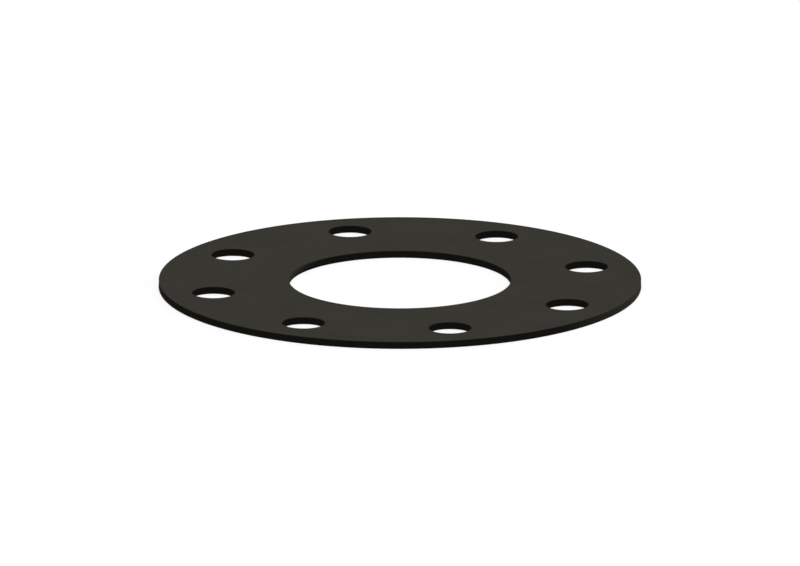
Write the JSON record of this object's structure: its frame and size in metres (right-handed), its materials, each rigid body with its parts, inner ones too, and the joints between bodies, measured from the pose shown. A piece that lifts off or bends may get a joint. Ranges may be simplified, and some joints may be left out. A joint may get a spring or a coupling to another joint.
{
  "type": "rubber flange gasket",
  "caption": "Flat full-face rubber gasket: a thin ring with a wide central bore and a circle of bolt holes, which seals the joint between two pipe flanges.",
  "frame": {"origin": "centre of the lower sealing face, on the axis of the bore", "axes": "+Z runs along the bore from the lower sealing face to the upper one; +X passes through the centre of one bolt hole; +Y completes the right-handed set and passes through another"},
  "size_m": [0.2, 0.2, 0.003],
  "materials": {
    "sheet_rubber": "matte"
  },
  "bodies": {
    "root": {"gasket": "sheet_rubber"}
  },
  "joints": []
}
